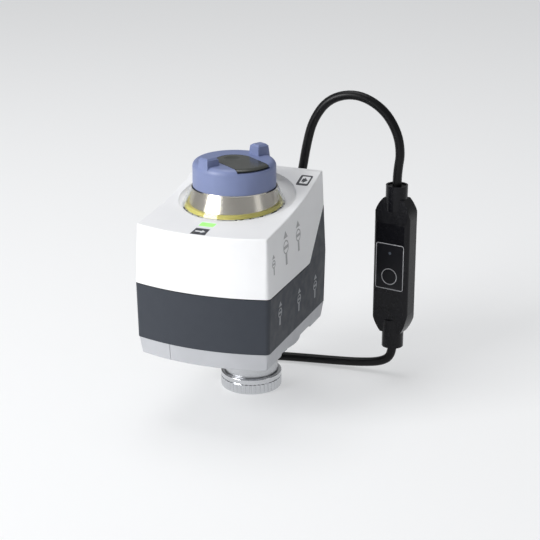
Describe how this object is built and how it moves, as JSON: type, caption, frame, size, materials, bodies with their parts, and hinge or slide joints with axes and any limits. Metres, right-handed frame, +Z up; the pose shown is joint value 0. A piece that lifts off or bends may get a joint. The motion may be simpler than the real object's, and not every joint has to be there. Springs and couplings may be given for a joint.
{
  "type": "electric valve actuator",
  "caption": "Motor actuator for a small valve: two-tone housing with a hand knob on a clear collar, a knurled coupling nut under it and a button module in its cable.",
  "frame": {"origin": "on the bottom face of the coupling nut, on the axis of the valve stem", "axes": "+Z up along the stem, +X to the right of the front, -Y to the front, where the status window is"},
  "size_m": [0.1739, 0.2067, 0.1776],
  "materials": {
    "cover_white": "satin",
    "band_grey": "satin",
    "base_grey": "satin",
    "gasket_black": "matt",
    "plug_grey": "satin",
    "screw_steel": "bright",
    "neck_metal": "satin",
    "nut_nickel": "bright",
    "spring_steel": "bright",
    "shaft_steel": "bright",
    "plate_steel": "satin",
    "bush_bronze": "satin",
    "gear_brass": "satin",
    "gear_plastic": "satin",
    "motor_can": "satin",
    "knob_lavender": "satin",
    "insert_smoked": "gloss",
    "lens_clear": "gloss",
    "reflector_metal": "bright",
    "ring_yellow": "satin",
    "board_green": "satin",
    "capacitor_sleeve": "gloss",
    "relay_case": "satin",
    "block_green": "satin",
    "light_guide": "gloss",
    "led_white": "gloss",
    "module_black": "satin",
    "label_black": "satin",
    "button_grey": "matt",
    "cable_black": "satin",
    "tie_black": "satin",
    "wire_copper": "satin"
  },
  "bodies": {
    "housing": {"top_cover": "cover_white", "mid_housing": "band_grey", "base_tray": "base_grey", "terminal_cover": "base_grey", "housing_gasket": "gasket_black", "module_grommets": "gasket_black", "cable_gland": "gasket_black", "entry_plug": "plug_grey", "cover_screws": "screw_steel", "terminal_screw": "screw_steel", "neck_screws": "screw_steel", "post_screws": "screw_steel", "board_screws": "screw_steel", "module_screws": "screw_steel", "plate_posts": "screw_steel", "board_pillars": "screw_steel", "intermediate_axle": "screw_steel", "neck": "neck_metal", "retaining_ring": "spring_steel", "thrust_washer": "spring_steel", "gear_plate": "plate_steel", "motor_plate": "plate_steel", "drive_bush": "bush_bronze", "knob_bush": "bush_bronze", "motor": "motor_can", "collar_lens": "lens_clear", "collar_reflector": "reflector_metal", "indicator_ring": "ring_yellow", "main_board": "board_green", "module_board": "board_green", "capacitors": "capacitor_sleeve", "relay": "relay_case", "terminal_block": "block_green", "status_window": "light_guide", "module_light": "light_guide", "status_led": "led_white", "module_front_shell": "module_black", "module_rear_shell": "module_black", "module_label": "label_black", "lead_cord": "cable_black", "supply_cord": "cable_black", "cord_tail": "cable_black", "cord_coil": "cable_black", "coil_tie": "tie_black", "cord_wires": "wire_copper"},
    "nut": {"union_nut": "nut_nickel"},
    "stem": {"stem_coupler": "shaft_steel", "spindle": "shaft_steel"},
    "drive": {"drive_gear": "gear_brass"},
    "intermediate": {"intermediate_gear": "gear_plastic"},
    "rotor": {"motor_pinion": "gear_brass"},
    "knob": {"manual_knob": "knob_lavender", "knob_insert": "insert_smoked", "knob_shaft": "shaft_steel", "knob_gear": "gear_plastic"},
    "button": {"module_button": "button_grey"}
  },
  "joints": [
    {"name": "drive_turn", "type": "hinge", "parent": "housing", "child": "drive", "pos_m": [0, 0, 0.065], "axis": [0, 0, 1], "range_deg": [0, 660]},
    {"name": "stem_travel", "type": "slide", "parent": "housing", "child": "stem", "axis": [0, 0, -1], "range_m": [0, 0.00551]},
    {"name": "intermediate_turn", "type": "hinge", "parent": "housing", "child": "intermediate", "pos_m": [-0.01827, -0.00665, 0.068], "axis": [0, 0, 1], "range_deg": [-1603.5, 0]},
    {"name": "rotor_turn", "type": "hinge", "parent": "housing", "child": "rotor", "pos_m": [-0.02129, -0.02378, 0.073], "axis": [0, 0, 1], "range_deg": [0, 5038.5]},
    {"name": "knob_turn", "type": "hinge", "parent": "housing", "child": "knob", "pos_m": [0, -0.0243, 0.14], "axis": [0, 0, 1], "range_deg": [-863.5, 0]},
    {"name": "nut_turn", "type": "hinge", "parent": "housing", "child": "nut", "pos_m": [0, 0, 0.005], "axis": [0, 0, 1], "continuous": true},
    {"name": "button_push", "type": "slide", "parent": "housing", "child": "button", "axis": [0.1736, 0.9848, 0], "range_m": [0, 0.0008]}
  ],
  "couplings": [
    {"joint": "stem_travel", "follows": "drive_turn", "m_per_rad": 0.00047746},
    {"joint": "intermediate_turn", "follows": "drive_turn", "ratio": -2.4286},
    {"joint": "rotor_turn", "follows": "drive_turn", "ratio": 7.6327},
    {"joint": "knob_turn", "follows": "drive_turn", "ratio": -1.3077}
  ]
}
